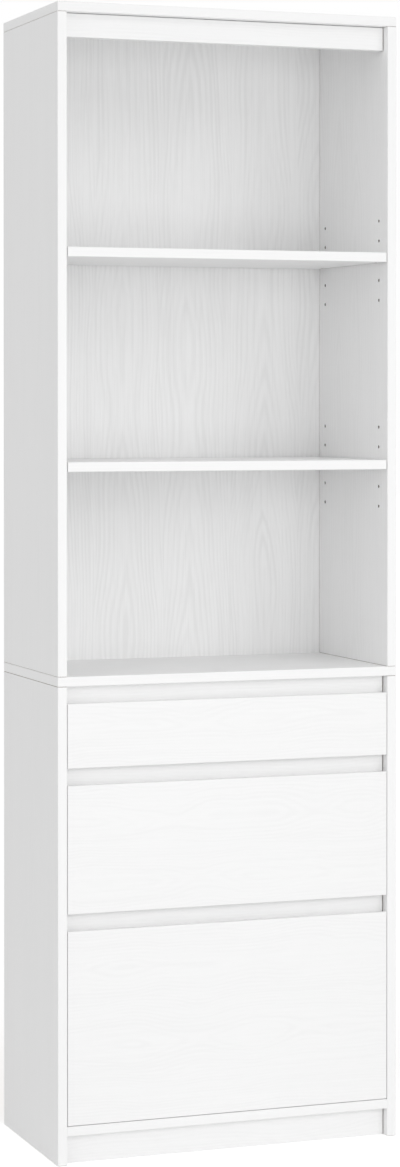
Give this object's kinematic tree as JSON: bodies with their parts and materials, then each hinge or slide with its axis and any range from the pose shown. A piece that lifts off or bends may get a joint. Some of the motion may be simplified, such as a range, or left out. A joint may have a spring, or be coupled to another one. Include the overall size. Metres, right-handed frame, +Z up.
{
  "type": "bookcase with bottom drawers",
  "caption": "Tall narrow freestanding bookcase in white wood-grain laminate, with open adjustable shelves above, handle-free inset drawers on roller runners below and a recessed plinth.",
  "frame": {"origin": "on the floor, at the middle of the footprint", "axes": "+X to the right seen from the front, +Y from front to back, +Z up"},
  "size_m": [0.57, 0.293, 1.8],
  "materials": {
    "woodgrain_laminate": "white laminate embossed with wood grain, satin",
    "back_board": "thin hardboard, white grained face, satin",
    "box_board": "plain white melamine, satin",
    "box_bottom": "white-faced hardboard, satin",
    "coated_steel": "white epoxy coat over pressed steel",
    "nylon": "natural white nylon",
    "pin_steel": "nickel-plated steel",
    "dowel_wood": "raw beech"
  },
  "bodies": {
    "carcass": {"top_panel": "woodgrain_laminate", "middle_panel": "woodgrain_laminate", "bottom_panel": "woodgrain_laminate", "upper_left_side": "woodgrain_laminate", "upper_right_side": "woodgrain_laminate", "lower_left_side": "woodgrain_laminate", "lower_right_side": "woodgrain_laminate", "top_fascia": "woodgrain_laminate", "upper_grip_rail": "woodgrain_laminate", "middle_grip_rail": "woodgrain_laminate", "lower_grip_rail": "woodgrain_laminate", "plinth": "woodgrain_laminate", "upper_back_panel": "back_board", "lower_back_panel": "back_board", "shelf_pins": "pin_steel", "wooden_dowels": "dowel_wood", "top_left_cabinet_runner": "coated_steel", "top_right_cabinet_runner": "coated_steel", "middle_left_cabinet_runner": "coated_steel", "middle_right_cabinet_runner": "coated_steel", "bottom_left_cabinet_runner": "coated_steel", "bottom_right_cabinet_runner": "coated_steel"},
    "upper_shelf": {"upper_shelf": "woodgrain_laminate"},
    "lower_shelf": {"lower_shelf": "woodgrain_laminate"},
    "top_drawer": {"top_drawer_front": "woodgrain_laminate", "top_drawer_left_side": "box_board", "top_drawer_right_side": "box_board", "top_drawer_back": "box_board", "top_drawer_bottom": "box_bottom", "top_drawer_left_runner": "coated_steel", "top_drawer_right_runner": "coated_steel"},
    "top_front_rollers": {"top_drawer_front_rollers": "nylon"},
    "top_rear_rollers": {"top_drawer_rear_rollers": "nylon"},
    "middle_drawer": {"middle_drawer_front": "woodgrain_laminate", "middle_drawer_left_side": "box_board", "middle_drawer_right_side": "box_board", "middle_drawer_back": "box_board", "middle_drawer_bottom": "box_bottom", "middle_drawer_left_runner": "coated_steel", "middle_drawer_right_runner": "coated_steel"},
    "middle_front_rollers": {"middle_drawer_front_rollers": "nylon"},
    "middle_rear_rollers": {"middle_drawer_rear_rollers": "nylon"},
    "bottom_drawer": {"bottom_drawer_front": "woodgrain_laminate", "bottom_drawer_left_side": "box_board", "bottom_drawer_right_side": "box_board", "bottom_drawer_back": "box_board", "bottom_drawer_bottom": "box_bottom", "bottom_drawer_left_runner": "coated_steel", "bottom_drawer_right_runner": "coated_steel"},
    "bottom_front_rollers": {"bottom_drawer_front_rollers": "nylon"},
    "bottom_rear_rollers": {"bottom_drawer_rear_rollers": "nylon"}
  },
  "joints": [
    {"name": "upper_shelf_lift", "type": "slide", "parent": "carcass", "child": "upper_shelf", "axis": [0, 0, 1], "range_m": [0, 0.064]},
    {"name": "lower_shelf_lift", "type": "slide", "parent": "carcass", "child": "lower_shelf", "axis": [0, 0, 1], "range_m": [0, 0.064]},
    {"name": "top_drawer_slide", "type": "slide", "parent": "carcass", "child": "top_drawer", "axis": [0, -1, 0], "range_m": [0, 0.19]},
    {"name": "top_front_rollers_spin", "type": "hinge", "parent": "carcass", "child": "top_front_rollers", "pos_m": [0, -0.1205, 0.6347], "axis": [1, 0, 0], "continuous": true},
    {"name": "top_rear_rollers_spin", "type": "hinge", "parent": "top_drawer", "child": "top_rear_rollers", "pos_m": [0, 0.109, 0.6363], "axis": [1, 0, 0], "continuous": true},
    {"name": "middle_drawer_slide", "type": "slide", "parent": "carcass", "child": "middle_drawer", "axis": [0, -1, 0], "range_m": [0, 0.19]},
    {"name": "middle_front_rollers_spin", "type": "hinge", "parent": "carcass", "child": "middle_front_rollers", "pos_m": [0, -0.1205, 0.4087], "axis": [1, 0, 0], "continuous": true},
    {"name": "middle_rear_rollers_spin", "type": "hinge", "parent": "middle_drawer", "child": "middle_rear_rollers", "pos_m": [0, 0.109, 0.4103], "axis": [1, 0, 0], "continuous": true},
    {"name": "bottom_drawer_slide", "type": "slide", "parent": "carcass", "child": "bottom_drawer", "axis": [0, -1, 0], "range_m": [0, 0.19]},
    {"name": "bottom_front_rollers_spin", "type": "hinge", "parent": "carcass", "child": "bottom_front_rollers", "pos_m": [0, -0.1205, 0.0807], "axis": [1, 0, 0], "continuous": true},
    {"name": "bottom_rear_rollers_spin", "type": "hinge", "parent": "bottom_drawer", "child": "bottom_rear_rollers", "pos_m": [0, 0.109, 0.0823], "axis": [1, 0, 0], "continuous": true}
  ],
  "couplings": [
    {"joint": "top_front_rollers_spin", "follows": "top_drawer_slide", "rad_per_m": 111.11},
    {"joint": "top_rear_rollers_spin", "follows": "top_drawer_slide", "rad_per_m": 111.11},
    {"joint": "middle_front_rollers_spin", "follows": "middle_drawer_slide", "rad_per_m": 111.11},
    {"joint": "middle_rear_rollers_spin", "follows": "middle_drawer_slide", "rad_per_m": 111.11},
    {"joint": "bottom_front_rollers_spin", "follows": "bottom_drawer_slide", "rad_per_m": 111.11},
    {"joint": "bottom_rear_rollers_spin", "follows": "bottom_drawer_slide", "rad_per_m": 111.11}
  ]
}
